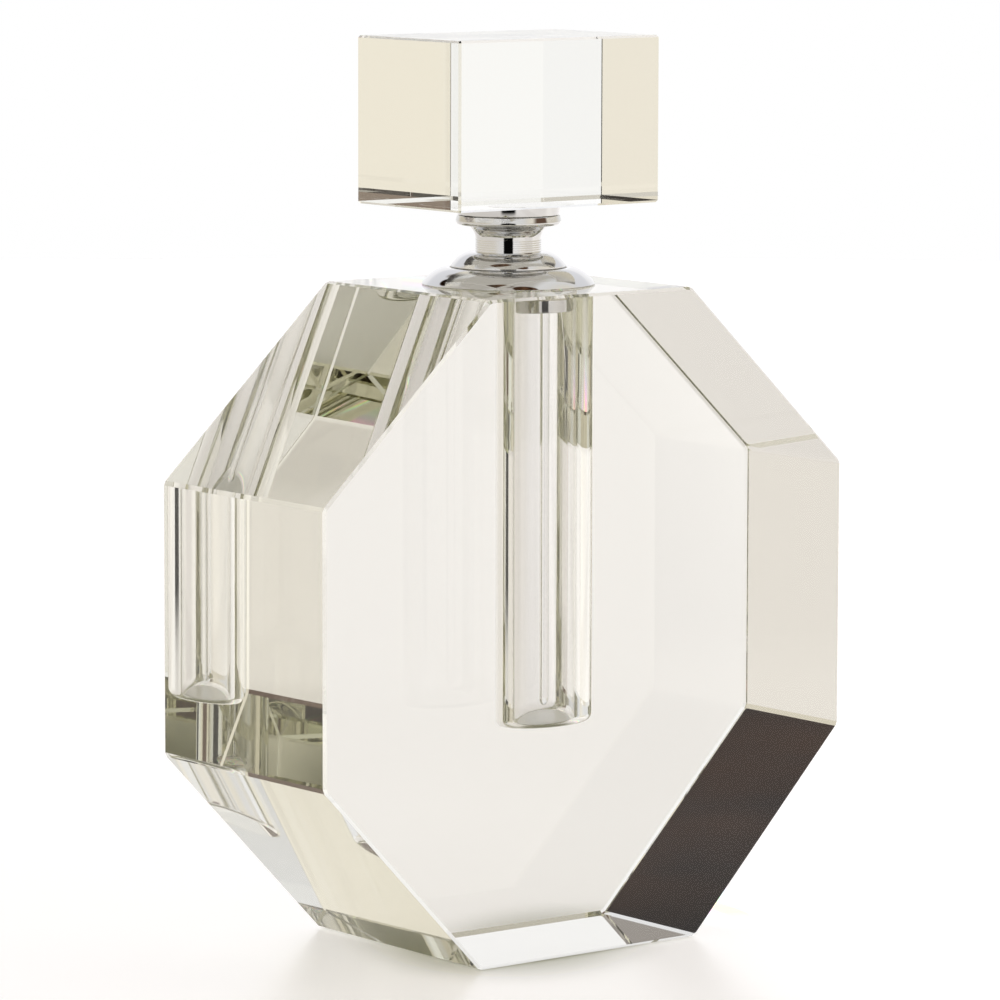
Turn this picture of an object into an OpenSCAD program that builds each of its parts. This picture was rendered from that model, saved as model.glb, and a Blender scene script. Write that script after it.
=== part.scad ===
// Crystal perfume bottle with a lift-out dauber stopper.
// Origin: centre of the resting face. +X runs across the bottle, +Y through it, +Z up.

/* [Bottle block] */
// Width of the block, flank to flank
block_w = 119.4; // [100:0.1:140]
// Height of the block, resting face to shoulder
block_h = 120; // [100:0.5:140]
// Thickness of the block, front face to back face
block_d = 49; // [42:0.5:60]
// Width that each upper bevel takes off the top face
shoulder_run = 36.4; // [30:0.1:38]
// Height that each upper bevel takes off the flank
shoulder_drop = 34.4; // [28:0.1:40]
// Width that each lower bevel takes off the resting face
foot_run = 34.6; // [28:0.1:38]
// Height that each lower bevel takes off the flank
foot_rise = 36; // [28:0.1:40]
// Leg of the small polished bevel on every edge of the block
arris = 0.5; // [0.2:0.1:1]

/* [Perfume well] */
// Diameter of the well drilled down from the top face
well_d = 20.4; // [20.2:0.1:22]
// Depth of the well
well_depth = 79.5; // [60:0.5:90]
// Radius between the well's wall and its flat floor
well_corner = 1.5; // [0.5:0.1:3]

/* [Neck collar] */
// Diameter of the domed flange that sits on the top face
collar_d = 31.6; // [28:0.1:36]
// Height of the flange, top face to its crown
collar_h = 3.2; // [2.8:0.1:3.3]
// Height of the land sunk in the flange, which the stopper rests over
land_h = 2.6; // [2:0.1:2.8]
// Diameter of the recess round the land
recess_d = 21.3; // [21.2:0.1:22.6]
// Diameter of the spigot that stands in the well's mouth
spigot_d = 18.5; // [17:0.1:19.5]
// Length of the spigot below the top face
spigot_len = 4.1; // [3.5:0.1:6]
// Diameter of the seat bored through the collar for the plug
seat_d = 13; // [11:0.1:14]

/* [Stopper hardware] */
// Largest diameter of the sleeve's domed skirt
skirt_d = 20.9; // [20:0.1:22]
// Diameter of the sleeve's waist
waist_d = 12; // [10:0.1:13]
// Diameter of the disc at the top of the sleeve
disc_d = 19.2; // [17:0.1:21]
// Diameter of the plate under the crystal, at its wider upper edge
plate_d = 19.2; // [17:0.1:21]
// Thickness of the plate under the crystal
plate_h = 2; // [1.5:0.1:3]

/* [Stopper crystal] */
// Width of the stopper crystal
crystal_w = 46; // [40:0.1:60]
// Thickness of the stopper crystal
crystal_d = 30.4; // [24:0.1:36]
// Height of the stopper crystal
crystal_h = 30.4; // [24:0.1:36]
// Leg of the small polished bevel on every edge of the crystal
crystal_arris = 0.4; // [0.2:0.1:1]
// Angle at which the stopper stands in the neck, in degrees
stopper_angle = 0; // [-45:0.1:45]

/* [Dauber] */
// Diameter of the glass rod
rod_d = 3; // [2.5:0.1:4]
// Room between the rod's round tip and the floor of the well
rod_tip_room = 2.5; // [1:0.1:6]

/* [Hidden] */
$fn = 96;
over = 1; // how far a cutting shape runs past the face it cuts

running_gap = 0.05; // radial gap between parts that slide or turn in each other
rest_gap = 0.03;    // gap between faces that rest on each other and part when the stopper lifts
glue_gap = 0.1;     // thickness of a glue line

// Heights above the block's top face
washer_h = 0.3;
skirt_z = land_h + washer_h + 2 * rest_gap; // underside of the sleeve's skirt
waist_top_z = 8.4;                            // end of the straight waist
disc_z = 10.9;                                // underside of the disc
disc_top_z = 12.65;
plate_z = disc_top_z + 0.05;
crystal_z = plate_z + plate_h + glue_gap;
socket_top_z = 9.5; // roof of the socket in the sleeve
rod_top_z = 8.5;

// Arcs of the turned profiles, as radius and centre [r, z]
collar_arc_r = 7.65;
collar_arc = [collar_d / 2 - 6.2, -4.2];
skirt_arc_r = 5.2;
skirt_arc = [skirt_d / 2 - 4.45, 0.8];
cove_r = disc_z - waist_top_z;
disc_edge_r = 0.75;

washer_d = 20;    // outside of the washer on the collar's land
stem_d = 7;       // stem of the plug, held in the sleeve
stud_d = 4;       // stud of the plate, held in the sleeve
plug_bottom = -3.6;
rib_h = 0.6;      // height of one sealing rib on the plug
rib_pitch = 1.5;
rib_depth = 0.25; // how far the grooves between the ribs are cut
glue_ring_h = 1.8;
plate_chamfer = 0.25;
plate_taper = 0.35; // how much the plate's radius grows from its lower to its upper edge

// Outline points of the block in the X-Z plane, counter-clockwise
function block_outline() = [
    [block_w / 2 - foot_run, 0], [block_w / 2, foot_rise],
    [block_w / 2, block_h - shoulder_drop], [block_w / 2 - shoulder_run, block_h],
    [-block_w / 2 + shoulder_run, block_h], [-block_w / 2, block_h - shoulder_drop],
    [-block_w / 2, foot_rise], [-block_w / 2 + foot_run, 0]];

function rectangle(w, d) = [[w, -d] / 2, [w, d] / 2, [-w, d] / 2, [-w, -d] / 2];

// Point at a distance from p on the way to q
function along(p, q, distance) = p + (q - p) * distance / norm(q - p);

// The outline with each corner cut off, leg long on both sides
function clipped(outline, leg) = [
    for (i = [0 : len(outline) - 1])
        let (p = outline[i],
             before = outline[(i + len(outline) - 1) % len(outline)],
             after = outline[(i + 1) % len(outline)])
        each [along(p, before, leg), along(p, after, leg)]];

// A convex prism of height h standing on z = 0, with a small bevel on every edge
module polished_prism(outline, h, leg) {
    sides = clipped(outline, leg);
    bar = 4 * leg; // side of the bar that cuts one bevel
    difference() {
        linear_extrude(h) polygon(sides);
        for (i = [0 : len(sides) - 1], top = [0, 1]) {
            p = sides[i];
            run = sides[(i + 1) % len(sides)] - p;
            translate([p.x + run.x / 2, p.y + run.y / 2, top * h])
                rotate([0, 0, atan2(run.y, run.x)])
                    rotate([45 - 90 * top, 0, 0])
                        translate([0, leg / sqrt(2) - bar / 2, 0])
                            cube([norm(run) + bar, bar, bar], center = true);
        }
    }
}

// A ring of square section, from z upwards
module ring(outer_d, inner_d, z, h) {
    translate([0, 0, z]) difference() {
        cylinder(d = outer_d, h = h);
        translate([0, 0, -over]) cylinder(d = inner_d, h = h + 2 * over);
    }
}

// Moves its children up to the block's top face
module on_block() {
    translate([0, 0, block_h]) children();
}

// The drilled well: a straight wall, a round corner and a flat floor
module well() {
    floor_z = block_h - well_depth;
    translate([0, 0, floor_z + well_corner])
        cylinder(d = well_d, h = well_depth - well_corner + over);
    translate([0, 0, floor_z])
        cylinder(d = well_d - 2 * well_corner, h = well_corner + over);
    translate([0, 0, floor_z + well_corner])
        rotate_extrude() translate([well_d / 2 - well_corner, 0]) circle(r = well_corner);
}

module bottle_block() {
    color("whitesmoke", 0.5) difference() {
        translate([0, block_d / 2, 0]) rotate([90, 0, 0])
            polished_prism(block_outline(), block_d, arris);
        well();
    }
}

// Domed flange on the top face, with a spigot in the well, a seat for the plug and a sunk land
module neck_collar() {
    color("silver") on_block() difference() {
        union() {
            rotate_extrude() intersection() {
                union() {
                    translate(collar_arc) circle(r = collar_arc_r);
                    square([collar_arc.x, collar_h]);
                }
                square([collar_d / 2, collar_h]);
            }
            translate([0, 0, -spigot_len]) cylinder(d = spigot_d, h = spigot_len + over);
        }
        translate([0, 0, -spigot_len - over])
            cylinder(d = seat_d, h = spigot_len + collar_h + 2 * over);
        translate([0, 0, land_h]) cylinder(d = recess_d, h = collar_h);
    }
}

// Clear glue between the spigot and the mouth of the well
module collar_adhesive() {
    color("ivory", 0.6) on_block() ring(well_d, spigot_d, -glue_ring_h, glue_ring_h);
}

// Soft washer between the collar's land and the sleeve
module seal_washer() {
    color("lightgray") on_block() ring(washer_d, stem_d + 2 * running_gap, land_h + rest_gap, washer_h);
}

// Soft plug: a ribbed barrel that fits the collar's seat, and a stem held in the sleeve
module stopper_plug() {
    barrel_d = seat_d - 2 * running_gap;
    barrel_h = land_h - plug_bottom;
    color("white", 0.8) on_block() difference() {
        union() {
            translate([0, 0, plug_bottom]) cylinder(d = barrel_d, h = barrel_h);
            translate([0, 0, land_h]) cylinder(d = stem_d, h = rod_top_z - land_h + 0.5);
        }
        for (z = [plug_bottom + rib_h : rib_pitch : land_h - rib_pitch])
            ring(barrel_d + 2 * over, barrel_d - 2 * rib_depth, z, rib_pitch - rib_h);
        translate([0, 0, plug_bottom - over])
            cylinder(d = rod_d, h = rod_top_z - plug_bottom + over);
    }
}

// Glass rod with a round tip, which carries the perfume to the skin
module dauber_rod() {
    tip_z = block_h - well_depth + rod_tip_room + rod_d / 2;
    color("azure", 0.6) {
        translate([0, 0, tip_z]) cylinder(d = rod_d, h = block_h + rod_top_z - tip_z);
        translate([0, 0, tip_z]) sphere(d = rod_d);
    }
}

// Turned sleeve: domed skirt, straight waist, cove and disc
module stopper_sleeve() {
    color("silver") on_block() difference() {
        rotate_extrude() {
            intersection() {
                union() {
                    translate(skirt_arc) circle(r = skirt_arc_r);
                    square([skirt_arc.x, disc_z]);
                }
                translate([0, skirt_z]) square([skirt_d / 2, disc_z]);
            }
            translate([0, skirt_z]) square([waist_d / 2, disc_top_z - skirt_z]);
            difference() {
                translate([0, waist_top_z]) square([waist_d / 2 + cove_r, cove_r]);
                translate([waist_d / 2 + cove_r, waist_top_z]) circle(r = cove_r);
            }
            translate([0, disc_z]) square([disc_d / 2 - disc_edge_r, disc_top_z - disc_z]);
            translate([0, disc_z + disc_edge_r])
                square([disc_d / 2, disc_top_z - disc_z - 2 * disc_edge_r]);
            for (z = [disc_z + disc_edge_r, disc_top_z - disc_edge_r])
                translate([disc_d / 2 - disc_edge_r, z]) circle(r = disc_edge_r);
        }
        translate([0, 0, skirt_z - over])
            cylinder(d = stem_d + 2 * running_gap, h = socket_top_z - skirt_z + over);
        cylinder(d = stud_d + 2 * running_gap, h = disc_top_z + over);
    }
}

// Plate glued under the crystal, with a stud that screws into the sleeve
module stopper_plate() {
    color("silver") on_block() {
        translate([0, 0, plate_z]) rotate_extrude()
            polygon([[0, 0], [plate_d / 2 - plate_taper - plate_chamfer, 0],
                     [plate_d / 2 - plate_taper, plate_chamfer],
                     [plate_d / 2, plate_h - plate_chamfer],
                     [plate_d / 2 - plate_chamfer, plate_h], [0, plate_h]]);
        translate([0, 0, socket_top_z + rest_gap])
            cylinder(d = stud_d, h = plate_z + 0.5 - socket_top_z);
    }
}

// Clear glue between the plate and the crystal
module crystal_adhesive() {
    color("ivory", 0.6) on_block() translate([0, 0, plate_z + plate_h])
        cylinder(d = plate_d - 2 * plate_chamfer, h = glue_gap);
}

module stopper_crystal() {
    color("whitesmoke", 0.5) on_block() translate([0, 0, crystal_z])
        rotate([0, 0, stopper_angle])
            polished_prism(rectangle(crystal_w, crystal_d), crystal_h, crystal_arris);
}

bottle_block();
neck_collar();
collar_adhesive();
seal_washer();
stopper_plug();
dauber_rod();
stopper_sleeve();
stopper_plate();
crystal_adhesive();
stopper_crystal();
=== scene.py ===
"""A crystal dauber-stopper perfume bottle on a pale floor in soft studio light.

Lengths are in metres. The block stands on z = 0, its octagon faces look along -Y and +Y.
"""

import math

import bpy
from mathutils import Matrix, Vector
from mathutils.geometry import tessellate_polygon


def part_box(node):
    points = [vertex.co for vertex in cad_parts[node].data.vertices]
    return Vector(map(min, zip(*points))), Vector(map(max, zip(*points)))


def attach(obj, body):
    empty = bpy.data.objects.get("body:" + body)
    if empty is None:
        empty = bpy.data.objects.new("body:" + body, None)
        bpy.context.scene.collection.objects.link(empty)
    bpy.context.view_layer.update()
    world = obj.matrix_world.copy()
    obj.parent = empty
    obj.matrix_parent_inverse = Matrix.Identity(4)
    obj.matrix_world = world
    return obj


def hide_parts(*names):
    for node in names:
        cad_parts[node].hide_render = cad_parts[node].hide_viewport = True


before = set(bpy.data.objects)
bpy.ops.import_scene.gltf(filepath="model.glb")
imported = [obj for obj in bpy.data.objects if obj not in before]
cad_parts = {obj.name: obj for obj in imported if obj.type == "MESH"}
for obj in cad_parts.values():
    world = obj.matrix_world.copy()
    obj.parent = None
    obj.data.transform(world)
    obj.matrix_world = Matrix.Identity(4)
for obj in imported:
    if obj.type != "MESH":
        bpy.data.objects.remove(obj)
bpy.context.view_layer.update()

MM = 0.001
BLOCK_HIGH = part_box("bottle_block")[1]
TOP = BLOCK_HIGH.z  # the block's top face, which the closure stands on
HALF_W, HALF_D = BLOCK_HIGH.x, BLOCK_HIGH.y

# Block, as in the CAD model
SHOULDER_RUN, SHOULDER_DROP = 36.4 * MM, 34.4 * MM
FOOT_RUN, FOOT_RISE = 34.6 * MM, 36.0 * MM
ARRIS = 0.5 * MM
WELL_R, WELL_DEPTH, WELL_CORNER = 10.2 * MM, 79.5 * MM, 1.5 * MM
MOUTH_CHAMFER = 0.3 * MM

# Closure, as in the CAD model: radii and heights above the block's top face
COLLAR_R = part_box("neck_collar")[1].x
COLLAR_H, LAND_H, RECESS_R = 3.2 * MM, 2.6 * MM, 10.65 * MM
COLLAR_ARC_R, COLLAR_ARC = 7.65 * MM, (9.6 * MM, -4.2 * MM)
SPIGOT_R, SPIGOT_LEN = 9.25 * MM, 4.1 * MM
SEAT_R = 6.5 * MM
SKIRT_Z, SKIRT_R = 2.96 * MM, 10.45 * MM
SKIRT_ARC_R, SKIRT_ARC = 5.2 * MM, (6.0 * MM, 0.8 * MM)
WAIST_R, WAIST_TOP = 6.0 * MM, 8.4 * MM
DISC_Z, DISC_TOP, DISC_R = 10.9 * MM, 12.65 * MM, 9.6 * MM
PLATE_Z, PLATE_H, PLATE_R, PLATE_TAPER = 12.7 * MM, 2.0 * MM, 9.6 * MM, 0.35 * MM
ROD_R = 1.5 * MM
TOOL_MARK, TOOL_PITCH = 0.0025 * MM, 0.4 * MM  # fine turned rings on the sleeve's waist
SMOOTH_ANGLE = math.radians(24)
HAIR = 0.02 * MM  # the air gap left between two faces that would otherwise coincide


# ---------------------------------------------------------------- materials

def new_material(name):
    """A material with an empty tree, its node tree and its output."""
    mat = bpy.data.materials.new(name)
    mat.use_nodes = True
    mat.node_tree.nodes.clear()
    out = mat.node_tree.nodes.new("ShaderNodeOutputMaterial")
    return mat, mat.node_tree, out


def add(tree, kind, **inputs):
    """A node of that kind with some inputs set."""
    node = tree.nodes.new(kind)
    for name, value in inputs.items():
        node.inputs[name.replace("_", " ")].default_value = value
    return node


def shader(tree, out, **inputs):
    """A Principled shader on the output, with some inputs set."""
    node = add(tree, "ShaderNodeBsdfPrincipled", **inputs)
    tree.links.new(node.outputs[0], out.inputs["Surface"])
    return node


def noise_bump(tree, node, scale, strength, distance, stretch=(1, 1, 1), detail=3.0):
    """Fine unevenness on the shader's normal."""
    where = tree.nodes.new("ShaderNodeTexCoord")
    squeeze = add(tree, "ShaderNodeMapping", Scale=stretch)
    noise = add(tree, "ShaderNodeTexNoise", Scale=scale, Detail=detail)
    bump = add(tree, "ShaderNodeBump", Strength=strength, Distance=distance)
    tree.links.new(where.outputs["Object"], squeeze.inputs["Vector"])
    tree.links.new(squeeze.outputs[0], noise.inputs["Vector"])
    tree.links.new(noise.outputs[0], bump.inputs["Height"])
    tree.links.new(bump.outputs[0], node.inputs["Normal"])
    return noise


def crystal(name, tint):
    """Clear optical crystal. Its faint warm-green body colour shows on long paths."""
    mat, tree, out = new_material(name)
    shader(tree, out, Base_Color=tint, Roughness=0.0, IOR=1.517, Transmission_Weight=1.0)
    body = add(tree, "ShaderNodeVolumeAbsorption", Color=(0.54, 0.53, 0.28, 1), Density=3.0)
    tree.links.new(body.outputs[0], out.inputs["Volume"])
    return mat


def chrome():
    """Polished chrome plate over a turned part."""
    mat, tree, out = new_material("chrome_plate")
    node = shader(tree, out, Base_Color=(0.64, 0.635, 0.625, 1), Metallic=1.0, Roughness=0.05)
    noise_bump(tree, node, 900, 0.05, 0.01 * MM, stretch=(0.2, 0.2, 6.0))
    return mat


def rod_glass():
    """Clear drawn glass."""
    mat, tree, out = new_material("rod_glass")
    shader(tree, out, Base_Color=(1, 1, 1, 1), Roughness=0.0, IOR=1.5, Transmission_Weight=1.0)
    return mat


def clear_adhesive():
    """Cured clear glue, wavy where it wetted the crystal."""
    mat, tree, out = new_material("clear_adhesive")
    node = shader(tree, out, Base_Color=(0.97, 0.95, 0.86, 1), Roughness=0.12, IOR=1.5,
                  Transmission_Weight=1.0)
    noise_bump(tree, node, 420, 1.0, 0.25 * MM)
    return mat


def matt_crystal():
    """Crystal as the drill leaves it: milky, with fine swirls."""
    mat, tree, out = new_material("crystal_matt")
    node = shader(tree, out, Base_Color=(1, 1, 0.98, 1), Roughness=0.3, IOR=1.517,
                  Transmission_Weight=0.2)
    noise_bump(tree, node, 260, 0.5, 0.1 * MM, detail=5.0)
    return mat


def plug_plastic():
    """Natural polyethylene, milky and a little waxy."""
    mat, tree, out = new_material("plug_plastic")
    node = shader(tree, out, Base_Color=(0.9, 0.9, 0.87, 1), Roughness=0.42,
                  Subsurface_Weight=0.4, Subsurface_Scale=0.002)
    noise_bump(tree, node, 600, 0.2, 0.02 * MM)
    return mat


def soft_seal():
    """Black matt rubber."""
    mat, tree, out = new_material("soft_seal")
    node = shader(tree, out, Base_Color=(0.05, 0.05, 0.05, 1), Roughness=0.6)
    noise_bump(tree, node, 900, 0.3, 0.02 * MM)
    return mat


CRYSTAL = crystal("crystal_polished", (0.89, 0.885, 0.88, 1))
STOPPER_CRYSTAL = crystal("crystal_stopper", (1, 1, 1, 1))
CHROME = chrome()


# ---------------------------------------------------------------- mesh helpers

def piece(name, verts, faces, material, body, replaces, slot, angle=SMOOTH_ANGLE):
    """A closed mesh that stands for a CAD node, smooth except over edges sharper than angle."""
    mesh = bpy.data.meshes.new(name)
    mesh.from_pydata(verts, [], faces)
    mesh.materials.append(material)
    mesh.validate()
    mesh.shade_smooth()
    mesh.set_sharp_from_angle(angle=angle)
    obj = bpy.data.objects.new(name, mesh)
    bpy.context.scene.collection.objects.link(obj)
    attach(obj, body)
    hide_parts(replaces)


def arc(centre, radius, start, end, steps):
    """Points (r, z) along an arc from start to end, in degrees from the +r axis."""
    angles = [math.radians(start + (end - start) * i / steps) for i in range(steps + 1)]
    return [(centre[0] + radius * math.cos(a), centre[1] + radius * math.sin(a)) for a in angles]


def turned(profile, segments=160, closed=True):
    """Vertices and faces of a profile of (r, z) points turned round +Z.

    The profile runs counter-clockwise with r to the right and z up. A point on the axis is one vertex.
    """
    verts, rings = [], []
    for r, z in profile:
        if r < 1e-7:
            rings.append([len(verts)] * segments)
            verts.append((0, 0, z))
            continue
        rings.append(range(len(verts), len(verts) + segments))
        for i in range(segments):
            a = math.tau * i / segments
            verts.append((r * math.cos(a), r * math.sin(a), z))
    faces = []
    pairs = list(zip(rings, rings[1:]))
    if closed:
        pairs.append((rings[-1], rings[0]))
    for low, high in pairs:
        for i in range(segments):
            j = (i + 1) % segments
            corners = [low[i], low[j], high[j], high[i]]
            corners = [c for k, c in enumerate(corners) if c != corners[k - 1]]
            if len(corners) > 2:
                faces.append(corners)
    return verts, faces


def lifted(profile):
    """The profile moved up to the block's top face."""
    return [(r, z + TOP) for r, z in profile]


def rounded(corners, radius, steps=4):
    """A closed profile with each corner rounded, where corners are (r, z) with an optional own radius."""
    result = []
    count = len(corners)
    for i, corner in enumerate(corners):
        p = Vector(corner[:2])
        before, after = Vector(corners[i - 1][:2]), Vector(corners[(i + 1) % count][:2])
        own = corner[2] if len(corner) > 2 else radius
        if own <= 0:
            result.append(tuple(p))
            continue
        start = p + (before - p).normalized() * own
        end = p + (after - p).normalized() * own
        for k in range(steps + 1):
            t = k / steps
            result.append(tuple(start * (1 - t) ** 2 + p * 2 * t * (1 - t) + end * t * t))
    return result


# ---------------------------------------------------------------- crystal block

def block_outline():
    """The octagon in the X-Z plane, counter-clockwise as seen from the front."""
    right = [(HALF_W - FOOT_RUN, 0), (HALF_W, FOOT_RISE),
             (HALF_W, TOP - SHOULDER_DROP), (HALF_W - SHOULDER_RUN, TOP)]
    left = [(-x, z) for x, z in reversed(right)]
    return [Vector(p) for p in right + left]


def clipped(outline, leg):
    """The outline with each corner cut off, leg long on both sides."""
    points = []
    for i, p in enumerate(outline):
        before, after = outline[i - 1], outline[(i + 1) % len(outline)]
        points += [p + (before - p).normalized() * leg, p + (after - p).normalized() * leg]
    return points


def inset(outline, leg):
    """The outline moved inwards by leg, with mitred corners."""
    points = []
    for i, p in enumerate(outline):
        a = (p - outline[i - 1]).normalized()
        b = (outline[(i + 1) % len(outline)] - p).normalized()
        bisector = (Vector((-a.y, a.x)) + Vector((-b.y, b.x))).normalized()
        points.append(p + bisector * (leg / bisector.dot(Vector((-a.y, a.x)))))
    return points


def well_profile():
    """The well's wall, corner and floor, from its mouth down and in, as (r, z)."""
    floor = TOP - WELL_DEPTH
    corner = arc((WELL_R - WELL_CORNER, floor + WELL_CORNER), WELL_CORNER, 0, -90, 10)
    flat = [(WELL_R - WELL_CORNER - 0.3 * MM, floor), (0.5 * WELL_R, floor), (0, floor)]
    mouth = [(WELL_R + MOUTH_CHAMFER, TOP), (WELL_R, TOP - MOUTH_CHAMFER)]
    return mouth + corner + flat


def bottle_block():
    """The bevelled block with its well, as one closed mesh."""
    full = clipped(block_outline(), ARRIS)
    small = inset(full, ARRIS)
    count = len(full)
    verts = []
    for y, outline in ((-HALF_D, small), (ARRIS - HALF_D, full), (HALF_D - ARRIS, full), (HALF_D, small)):
        verts += [(p.x, y, p.y) for p in outline]
    faces = [list(range(count)), list(reversed(range(3 * count, 4 * count)))]
    top_face = None
    for ring in range(3):
        for i in range(count):
            j = (i + 1) % count
            quad = [ring * count + i, (ring + 1) * count + i, (ring + 1) * count + j, ring * count + j]
            is_top = ring == 1 and all(abs(verts[k][2] - TOP) < 1e-7 for k in quad)
            if is_top:
                top_face = quad
            else:
                faces.append(quad)
    segments = 192
    well_verts, well_faces = turned(well_profile(), segments, closed=False)
    offset = len(verts)
    verts += well_verts
    rim = [offset + i for i in range(segments)]
    loops = [[Vector(verts[k]) for k in top_face], [Vector(verts[k]) for k in reversed(rim)]]
    index = top_face + list(reversed(rim))
    for triangle in tessellate_polygon(loops):
        corners = [index[k] for k in triangle]
        a, b, c = (Vector(verts[k]) for k in corners)
        if (b - a).cross(c - a).z < 0:
            corners.reverse()
        faces.append(corners)
    faces += [[offset + k for k in face] for face in well_faces]
    piece("crystal_block", verts, faces,
                 CRYSTAL, "bottle", "bottle_block", "crystal", angle=math.radians(14))


def well_floor():
    """The drill's matt finish on the well's floor, as a thin skin."""
    low = TOP - WELL_DEPTH + HAIR
    radius = WELL_R - WELL_CORNER
    corners = [(0, low), (radius, low), (radius, low + 0.06 * MM), (0, low + 0.1 * MM)]
    piece("well_floor_skin", *turned(corners, 96, closed=False), matt_crystal(), "bottle",
                 "bottle_block", "crystal")


# ---------------------------------------------------------------- closure

def neck_collar():
    """Domed flange with a spigot down into the well, a seat for the plug and a sunk land."""
    crown_r = COLLAR_ARC[0] + math.sqrt(COLLAR_ARC_R ** 2 - (COLLAR_H - COLLAR_ARC[1]) ** 2)
    rim = math.degrees(math.asin((0.25 * MM - COLLAR_ARC[1]) / COLLAR_ARC_R))
    crown = math.degrees(math.atan2(COLLAR_H - COLLAR_ARC[1], crown_r - COLLAR_ARC[0]))
    dome = [(r, z, 0) for r, z in arc(COLLAR_ARC, COLLAR_ARC_R, rim, crown - 3, 24)]
    edge = min(dome[0][0], COLLAR_R)
    soft = 0.2 * MM
    corners = [(SEAT_R, -SPIGOT_LEN, soft), (SPIGOT_R, -SPIGOT_LEN, soft), (SPIGOT_R, HAIR, 0),
               (edge, HAIR, 0.1 * MM)]
    corners += dome
    corners += [(crown_r, COLLAR_H, soft), (RECESS_R, COLLAR_H, 0.25 * MM), (RECESS_R, LAND_H, 0.05 * MM),
                (SEAT_R, LAND_H, 0.3 * MM)]
    piece("collar_flange", *turned(lifted(rounded(corners, soft, 6))), CHROME, "bottle",
                 "neck_collar", "chromed_brass")


def collar_adhesive():
    """The ring of clear glue in the mouth of the well."""
    low, high = -1.8 * MM, -HAIR
    profile = [(SPIGOT_R + HAIR, low + 0.2 * MM), (SPIGOT_R + 0.45 * MM, low),
               (WELL_R - 2 * HAIR, low + 0.3 * MM), (WELL_R - 2 * HAIR, high - MOUTH_CHAMFER),
               (SPIGOT_R + HAIR, high - MOUTH_CHAMFER)]
    piece("collar_glue", *turned(lifted(profile)), clear_adhesive(), "bottle",
                 "collar_adhesive", "clear_adhesive")


def seal_washer():
    """The thin soft ring between the collar's land and the sleeve."""
    inner, outer = 3.56 * MM, 9.95 * MM
    low = LAND_H + 0.03 * MM
    high = low + 0.3 * MM
    corners = [(inner, low), (outer, low), (outer, high), (inner, high)]
    piece("seal_ring", *turned(lifted(rounded(corners, 0.1 * MM))), soft_seal(), "dauber",
                 "seal_washer", "soft_seal")


def stopper_plug():
    """A plug with three soft ribs round its barrel, a stem above and a hole for the rod."""
    barrel, groove, stem = 6.45 * MM, 6.2 * MM, 3.5 * MM
    bottom, shoulder, top = -3.6 * MM, LAND_H, 9.0 * MM
    rib, pitch = 0.6 * MM, 1.5 * MM
    soft = 0.08 * MM
    corners = [(ROD_R + HAIR, bottom, 0.25 * MM), (barrel, bottom, 0.2 * MM)]
    z = bottom + rib
    while z <= shoulder - pitch + 1e-9:
        corners += [(barrel, z, soft), (groove, z, soft),
                    (groove, z + pitch - rib, soft), (barrel, z + pitch - rib, soft)]
        z += pitch
    corners += [(barrel, shoulder, 0.15 * MM), (stem, shoulder, soft), (stem, top, 0.3 * MM),
                (ROD_R + HAIR, top, 0.1 * MM)]
    piece("plug_body", *turned(lifted(rounded(corners, soft))), plug_plastic(), "dauber",
                 "stopper_plug", "plug_plastic")


def dauber_rod():
    """A round glass rod with a fire-polished tip."""
    low, high = (corner.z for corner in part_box("dauber_rod"))
    tip = arc((0, low + ROD_R), ROD_R, -90, 0, 14)
    tip[0] = (0, low)
    profile = tip + [(ROD_R, high - 0.3 * MM), (ROD_R - 0.3 * MM, high), (0, high)]
    piece("glass_rod", *turned(profile, 96, closed=False), rod_glass(), "dauber",
                 "dauber_rod", "rod_glass")


def stopper_sleeve():
    """Turned sleeve: skirt, waist with fine tool marks, cove and disc."""
    socket_r, socket_top, stud_r = 3.55 * MM, 9.5 * MM, 2.05 * MM
    skirt_start = math.degrees(math.acos((SKIRT_R - SKIRT_ARC[0]) / SKIRT_ARC_R))
    waist_low = SKIRT_ARC[1] + SKIRT_ARC_R
    cove_r = DISC_Z - WAIST_TOP
    edge_r, edge_tilt = 0.7 * MM, 13
    edge = arc((DISC_R - edge_r, DISC_Z + edge_r), edge_r, -90, edge_tilt, 12)
    disc_top_r = edge[-1][0] - (DISC_TOP - edge[-1][1]) * math.tan(math.radians(edge_tilt))
    foot = [(socket_r, SKIRT_Z, 0), (SKIRT_R, SKIRT_Z, 0.4 * MM), (SKIRT_R, 2 * SKIRT_Z, 0)]
    profile = rounded(foot, 0, 8)[:-1]
    profile += arc(SKIRT_ARC, SKIRT_ARC_R, skirt_start, 90, 24)
    steps = 48
    for i in range(1, steps):
        z = waist_low + (WAIST_TOP - waist_low) * i / steps
        profile.append((WAIST_R + TOOL_MARK * math.cos(math.tau * z / TOOL_PITCH), z))
    cove = arc((WAIST_R + cove_r, WAIST_TOP), cove_r, 180, 90, 40)
    for i, (r, z) in enumerate(cove):
        bead = math.exp(-((z - WAIST_TOP - 0.15 * MM) / (0.16 * MM)) ** 2)
        bead += math.exp(-((z - WAIST_TOP - 1.4 * MM) / (0.14 * MM)) ** 2)
        profile.append((r + 8 * TOOL_MARK * bead, z))
    profile += edge
    profile += [(disc_top_r + 0.02 * MM, DISC_TOP - 0.08 * MM), (disc_top_r - 0.06 * MM, DISC_TOP)]
    profile += [(stud_r, DISC_TOP), (stud_r, socket_top), (socket_r, socket_top)]
    piece("sleeve_body", *turned(lifted(profile)), CHROME, "stopper", "stopper_sleeve",
                 "chromed_brass")


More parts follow.
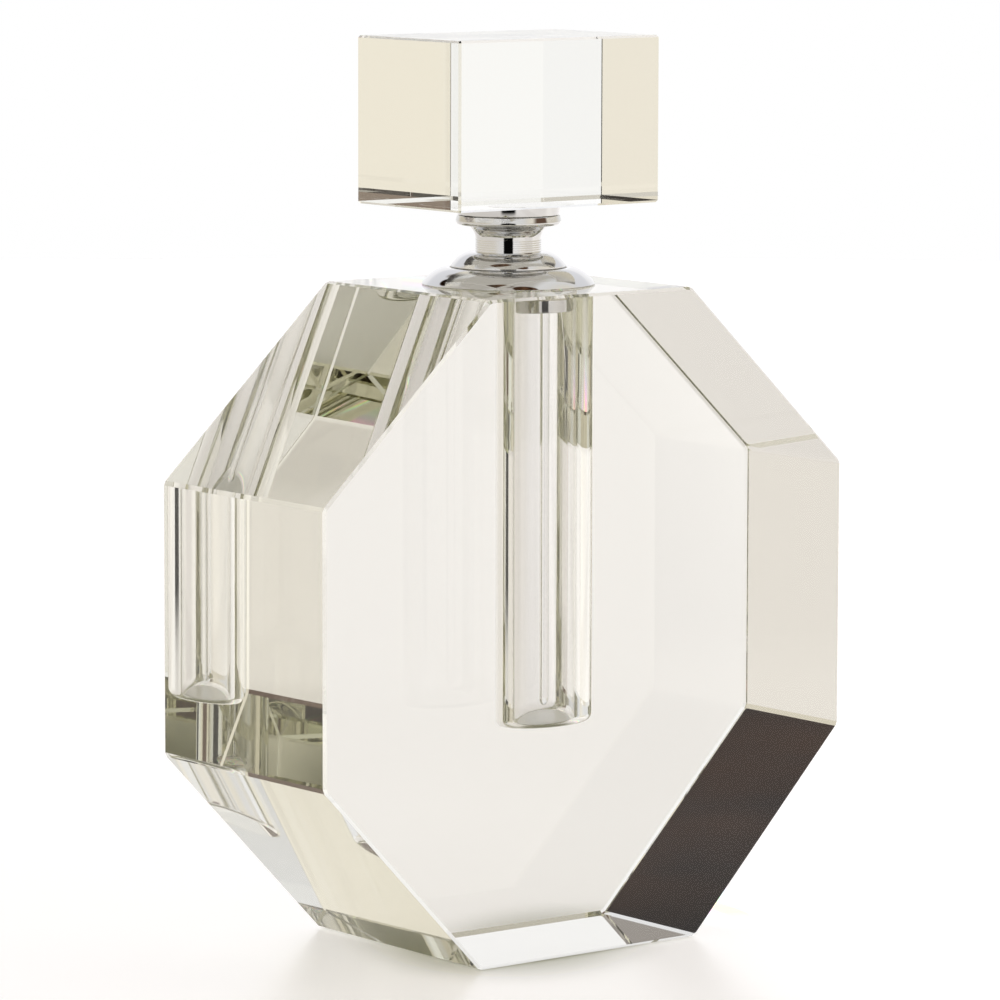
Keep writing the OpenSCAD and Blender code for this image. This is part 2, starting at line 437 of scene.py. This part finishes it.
def stopper_plate():
    """Tapered plate under the crystal, with its stud. Its raised middle is bonded to the crystal."""
    top = PLATE_Z + PLATE_H
    crystal_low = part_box("stopper_crystal")[0].z - TOP
    bond_r, stud_r, stud_low = 9.1 * MM, 2.0 * MM, 9.53 * MM
    soft = 0.2 * MM
    corners = [(0, stud_low, 0), (stud_r, stud_low, 0), (stud_r, PLATE_Z, 0),
               (PLATE_R - PLATE_TAPER, PLATE_Z, soft), (PLATE_R, top, soft), (bond_r, top, 0),
               (bond_r, crystal_low + HAIR, 0), (0, crystal_low + HAIR, 0)]
    piece("plate_body", *turned(lifted(rounded(corners, soft)), closed=False), CHROME,
                 "stopper", "stopper_plate", "chromed_brass")


def crystal_adhesive():
    """The thin ring of clear glue round the plate's raised middle."""
    inner, outer = 9.12 * MM, 9.34 * MM
    low = PLATE_Z + PLATE_H + HAIR
    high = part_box("stopper_crystal")[0].z - TOP - HAIR / 2
    corners = [(inner, low), (outer, low), (outer, high), (inner, high)]
    piece("crystal_glue", *turned(lifted(corners)), clear_adhesive(), "stopper",
                 "crystal_adhesive", "clear_adhesive")


def stopper_crystal():
    """The CAD crystal is exact, because all its faces are flat. It only gets the crystal material."""
    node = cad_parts["stopper_crystal"]
    for s in node.material_slots:
        s.link = "OBJECT"
        s.material = STOPPER_CRYSTAL


# ---------------------------------------------------------------- studio

def camera():
    """Front left and slightly above, through a long lens."""
    yaw, pitch, roll = math.radians(-38.16), math.radians(7.24), math.radians(0.147)
    back = Vector((math.sin(yaw) * math.cos(pitch), -math.cos(yaw) * math.cos(pitch), math.sin(pitch)))
    right = (-back).cross(Vector((0, 0, 1))).normalized()
    up = right.cross(-back)
    tilted_right = right * math.cos(roll) + up * math.sin(roll)
    tilted_up = up * math.cos(roll) - right * math.sin(roll)
    data = bpy.data.cameras.new("camera")
    data.lens, data.sensor_width = 200.6, 36
    data.clip_start, data.clip_end = 0.05, 30
    obj = bpy.data.objects.new("camera", data)
    turn = Matrix((tilted_right, tilted_up, back)).transposed().to_4x4()
    place = Vector((-0.62567, -0.79445, 0.20881)) - tilted_right * 0.3 * MM
    obj.matrix_world = Matrix.Translation(place) @ turn
    bpy.context.scene.collection.objects.link(obj)
    bpy.context.scene.camera = obj


TABLE = (0.80, 0.77, 0.75, 1)
# Painted shade: the olive, darker colour of the table under the crystal stands in for its contact shadow.
PAINTED_FOOT_SHADOW = (0.52, 0.53, 0.40, 1)  # the table under the crystal
TABLE_LIGHT = (0.99, 0.99, 1.01, 1)
RAINBOW_START, RAINBOW_RATE = 0.0445, 80.0  # first hue: metres from the middle; turns per metre


def floor():
    """A round pale table top just under the resting face, slightly glossy and lit from within. Its colour and
    glow carry a painted shadow under the crystal, painted light to the right and behind, painted rainbow
    light round the foot and a painted black wedge in front.
    """
    segments, radius, z = 128, 1.5, -0.1 * MM
    verts = [(radius * math.cos(math.tau * i / segments), radius * math.sin(math.tau * i / segments), z)
             for i in range(segments)]
    mesh = bpy.data.meshes.new("floor")
    mesh.from_pydata(verts, [], [list(range(segments))])
    mat, tree, out = new_material("floor_board")
    node = shader(tree, out, Base_Color=TABLE, Roughness=0.3, IOR=1.6, Emission_Color=TABLE_LIGHT)
    where = tree.nodes.new("ShaderNodeNewGeometry")
    split = tree.nodes.new("ShaderNodeSeparateXYZ")
    tree.links.new(where.outputs["Position"], split.inputs[0])
    x, y = split.outputs[0], split.outputs[1]
    away = maths(tree, "SQRT", maths(tree, "ADD", maths(tree, "MULTIPLY", x, x),
                                     maths(tree, "MULTIPLY", y, y)))
    along, across = turned_level(tree, x, y)
    narrow = maths(tree, "MULTIPLY", across, 1.5)  # the shaded foot is narrower across than along
    beside = maths(tree, "SQRT", maths(tree, "ADD", maths(tree, "MULTIPLY", along, along),
                                       maths(tree, "MULTIPLY", narrow, narrow)))
    # Painted shadow under the crystal's foot: there the table turns olive and loses its glow; the open table
    # glows fully.
    outside_painted_shadow = ramp(tree, beside, 0.020, 0.050)
    right = product(tree, ramp(tree, across, 0.15, 0.20), ramp(tree, across, 0.30, 0.27))
    behind = product(tree, ramp(tree, across, 0.02, 0.14), ramp(tree, along, 0.0, 0.10),
                     ramp(tree, along, 0.30, 0.12))
    # Painted light: the table glows brighter to the right, less so in a band further right, and most of all
    # behind
    painted_light = maths(tree, "MULTIPLY", ramp(tree, across, 0.02, 0.12), 0.20)
    for patch, strength in ((right, -0.10), (behind, 0.10)):
        painted_light = maths(tree, "ADD", painted_light, maths(tree, "MULTIPLY", patch, strength))
    glow = maths(tree, "ADD", maths(tree, "MULTIPLY", outside_painted_shadow, 0.34), painted_light)
    colour = blend_colour(tree, outside_painted_shadow, PAINTED_FOOT_SHADOW, TABLE)

    # Rainbow light thrown by the crystal, round its foot
    hue = maths(tree, "MULTIPLY", maths(tree, "SUBTRACT", away, RAINBOW_START), RAINBOW_RATE)
    spread = add(tree, "ShaderNodeCombineColor")
    spread.mode = "HSV"
    tree.links.new(maths(tree, "FRACT", hue), spread.inputs[0])
    spread.inputs[1].default_value = 0.75
    spread.inputs[2].default_value = 1.0
    thrown = product(tree, ramp(tree, away, 0.034, 0.046), ramp(tree, away, 0.058, 0.048),
                     ramp(tree, across, 0.010, 0.030), ramp(tree, along, 0.002, 0.020))
    light = blend_colour(tree, thrown, TABLE_LIGHT, spread.outputs[0])
    tree.links.new(light, node.inputs["Emission Color"])
    glow = maths(tree, "ADD", glow, maths(tree, "MULTIPLY", thrown, 0.8))

    # Painted shade: a black, unlit wedge on the table in front, standing in for the dark gap where the camera
    # looks in
    side = maths(tree, "ADD", maths(tree, "ABSOLUTE", across), maths(tree, "MULTIPLY", along, 0.29))
    gap = product(tree, ramp(tree, along, -0.20, -0.32), ramp(tree, side, 0.02, -0.02))
    tree.links.new(blend_colour(tree, gap, colour, BLACK), node.inputs["Base Color"])
    lit = maths(tree, "SUBTRACT", 1.0, gap)
    tree.links.new(maths(tree, "MULTIPLY", glow, lit), node.inputs["Emission Strength"])
    tree.links.new(maths(tree, "MULTIPLY", lit, 0.5), node.inputs["Specular IOR Level"])
    mesh.materials.append(mat)
    obj = bpy.data.objects.new("floor", mesh)
    bpy.context.scene.collection.objects.link(obj)


WHITE = (1.0, 1.0, 1.0, 1)
GLARE = (1.15, 1.15, 1.18, 1)
COOL = (0.97, 0.98, 1.03, 1)
CREAM = (0.915, 0.86, 0.745, 1)
BRIGHT_CREAM = (1.10, 1.04, 0.92, 1)
GREY = (0.68, 0.65, 0.60, 1)
SHADE = (0.05, 0.045, 0.04, 1)
DIM = (0.38, 0.35, 0.33, 1)
TAN = (0.78, 0.72, 0.59, 1)
BROWN = (0.045, 0.020, 0.009, 1)
CHESTNUT = (0.17, 0.085, 0.045, 1)
CLOTH = (0.16, 0.10, 0.07, 1)
DARK_STAIN = (0.002, 0.001, 0.001, 1)
BLACK = (0.004, 0.004, 0.004, 1)
AXIS = Vector((0.618, 0.786))  # level, from the dark gap in front through the bottle


def maths(tree, operation, a, b=None, c=None):
    """A maths node's output, where each input is a number or another node's output."""
    node = tree.nodes.new("ShaderNodeMath")
    node.operation = operation
    for i, value in enumerate((a, b, c)):
        if value is None:
            continue
        if isinstance(value, (int, float)):
            node.inputs[i].default_value = value
        else:
            tree.links.new(value, node.inputs[i])
    return node.outputs[0]


def ramp(tree, value, low, high):
    """0 below low and 1 above high, smoothly between; low may be the larger."""
    node = tree.nodes.new("ShaderNodeMapRange")
    node.interpolation_type = "SMOOTHSTEP"
    tree.links.new(value, node.inputs["Value"])
    flip = low > high
    node.inputs["From Min"].default_value = min(low, high)
    node.inputs["From Max"].default_value = max(low, high)
    node.inputs["To Min"].default_value = 1.0 if flip else 0.0
    node.inputs["To Max"].default_value = 0.0 if flip else 1.0
    return node.outputs["Result"]


def turned_level(tree, x, y):
    """How far a point or direction lies along the axis, and to the right across it."""
    along = maths(tree, "ADD", maths(tree, "MULTIPLY", x, AXIS.x), maths(tree, "MULTIPLY", y, AXIS.y))
    across = maths(tree, "SUBTRACT", maths(tree, "MULTIPLY", x, AXIS.y), maths(tree, "MULTIPLY", y, AXIS.x))
    return along, across


def ellipse(tree, values, centre, half_size):
    """How far values are from the centre, as the squared distance in half sizes: 1 on the edge."""
    total = 0.0
    for value, middle, half in zip(values, centre, half_size):
        offset = maths(tree, "DIVIDE", maths(tree, "SUBTRACT", value, middle), half)
        total = maths(tree, "MULTIPLY_ADD", offset, offset, total)
    return total


def product(tree, *shares):
    """All the shares multiplied."""
    result = shares[0]
    for share in shares[1:]:
        result = maths(tree, "MULTIPLY", result, share)
    return result


def blend_colour(tree, share, below, above):
    """The colour below where the share is 0, turning to above where it is 1."""
    node = tree.nodes.new("ShaderNodeMix")
    node.data_type = "RGBA"
    tree.links.new(share, node.inputs["Factor"])
    for name, value in (("A", below), ("B", above)):
        socket = [s for s in node.inputs if s.name == name and s.type == "RGBA"][0]
        if isinstance(value, tuple):
            socket.default_value = value
        else:
            tree.links.new(value, socket)
    return [s for s in node.outputs if s.type == "RGBA"][0]


def studio():
    """A white tent, cream at the sides and grey above, with dark cards and a gap where a camera looks in."""
    world = bpy.data.worlds.new("studio")
    bpy.context.scene.world = world
    world.use_nodes = True
    tree = world.node_tree
    tree.nodes.clear()
    out = tree.nodes.new("ShaderNodeOutputWorld")
    background = tree.nodes.new("ShaderNodeBackground")
    tree.links.new(background.outputs[0], out.inputs[0])
    where = tree.nodes.new("ShaderNodeTexCoord")
    split = tree.nodes.new("ShaderNodeSeparateXYZ")
    tree.links.new(where.outputs["Generated"], split.inputs[0])
    x, y, z = split.outputs
    along, across = turned_level(tree, x, y)
    aside = maths(tree, "ABSOLUTE", across)

    def card(centre, half_size, soft=0.05):
        """The share of a soft-edged ellipse, given as along, across and height of a direction."""
        return ramp(tree, ellipse(tree, (along, across, z), centre, half_size), 1 + soft * 4, 1 - soft * 4)

    # The tent: white fore and aft, cream at the sides, cooler behind above the table, grey above
    colour = blend_colour(tree, ramp(tree, aside, 0.45, 0.85), WHITE, CREAM)
    tan = product(tree, ramp(tree, across, -0.55, -0.80), ramp(tree, z, 0.02, 0.10))
    colour = blend_colour(tree, tan, colour, TAN)
    sunny = product(tree, ramp(tree, across, 0.55, 0.80), ramp(tree, z, 0.10, 0.25))
    colour = blend_colour(tree, sunny, colour, BRIGHT_CREAM)
    cool = product(tree, ramp(tree, along, 0.2, 0.6), ramp(tree, z, 0.20, 0.32))
    colour = blend_colour(tree, cool, colour, COOL)
    glare = product(tree, ramp(tree, along, 0.75, 0.90), ramp(tree, z, 0.02, 0.10), ramp(tree, z, 0.40, 0.30))
    colour = blend_colour(tree, glare, colour, GLARE)
    grey = product(tree, ramp(tree, z, 0.58, 0.78), ramp(tree, across, 0.45, 0.30),
                   ramp(tree, along, 0.75, 0.55))
    colour = blend_colour(tree, grey, colour, GREY)
    dim = card((0.67, -0.31, 0.68), (0.14, 0.12, 0.12), 0.15)
    colour = blend_colour(tree, dim, colour, DIM)

    # Shade above the camera
    shade = product(tree, ramp(tree, along, -0.35, -0.50), ramp(tree, z, 0.46, 0.54),
                    ramp(tree, z, 0.76, 0.70))
    colour = blend_colour(tree, shade, colour, SHADE)

    # Brown cards, streaked like stained wood
    streaks = add(tree, "ShaderNodeTexNoise", Scale=9.0, Detail=4.0)
    squeeze = add(tree, "ShaderNodeMapping", Rotation=(0.3, 0.5, 0.2), Scale=(4.0, 0.6, 1.2))
    tree.links.new(where.outputs["Generated"], squeeze.inputs["Vector"])
    tree.links.new(squeeze.outputs[0], streaks.inputs["Vector"])
    grain = ramp(tree, streaks.outputs[0], 0.40, 0.64)
    brown = blend_colour(tree, grain, DARK_STAIN, BROWN)
    chestnut = blend_colour(tree, grain, BROWN, CHESTNUT)
    for centre, half_size, stain in (
            ((0.46, -0.56, 0.68), (0.17, 0.15, 0.15), brown),
            ((-0.20, -0.18, 0.96), (0.12, 0.26, 0.20), chestnut),
            ((-0.30, 0.28, 0.91), (0.13, 0.22, 0.20), chestnut)):
        colour = blend_colour(tree, card(centre, half_size), colour, stain)

    # A low brown cloth on the right, which the table mirrors only at a flat angle
    cloth = product(tree, ramp(tree, across, 0.78, 0.90), ramp(tree, along, 0.15, 0.0),
                    ramp(tree, z, 0.03, 0.08), ramp(tree, z, 0.36, 0.28))
    colour = blend_colour(tree, cloth, colour, CLOTH)

    # Dark gap in front
    rim = ellipse(tree, (across, z), (0, 0), (0.29, 0.30))
    gap = product(tree, ramp(tree, along, -0.2, -0.3), ramp(tree, rim, 1.1, 0.8))
    colour = blend_colour(tree, gap, colour, BLACK)

    tree.links.new(colour, background.inputs["Color"])
    background.inputs["Strength"].default_value = 1.0


def render_quality():
    """Enough bounces for light that crosses the crystal many times."""
    scene = bpy.context.scene
    scene.view_settings.view_transform = "Standard"
    cycles = scene.cycles
    cycles.max_bounces = 128
    cycles.transmission_bounces = 128
    cycles.glossy_bounces = 64
    cycles.diffuse_bounces = 3
    cycles.transparent_max_bounces = 16
    cycles.blur_glossy = 0.0
    cycles.sample_clamp_indirect = 8.0
    cycles.use_denoising = True


camera()
floor()
studio()
render_quality()
bottle_block()
well_floor()
neck_collar()
collar_adhesive()
seal_washer()
stopper_plug()
dauber_rod()
stopper_sleeve()
stopper_plate()
crystal_adhesive()
stopper_crystal()
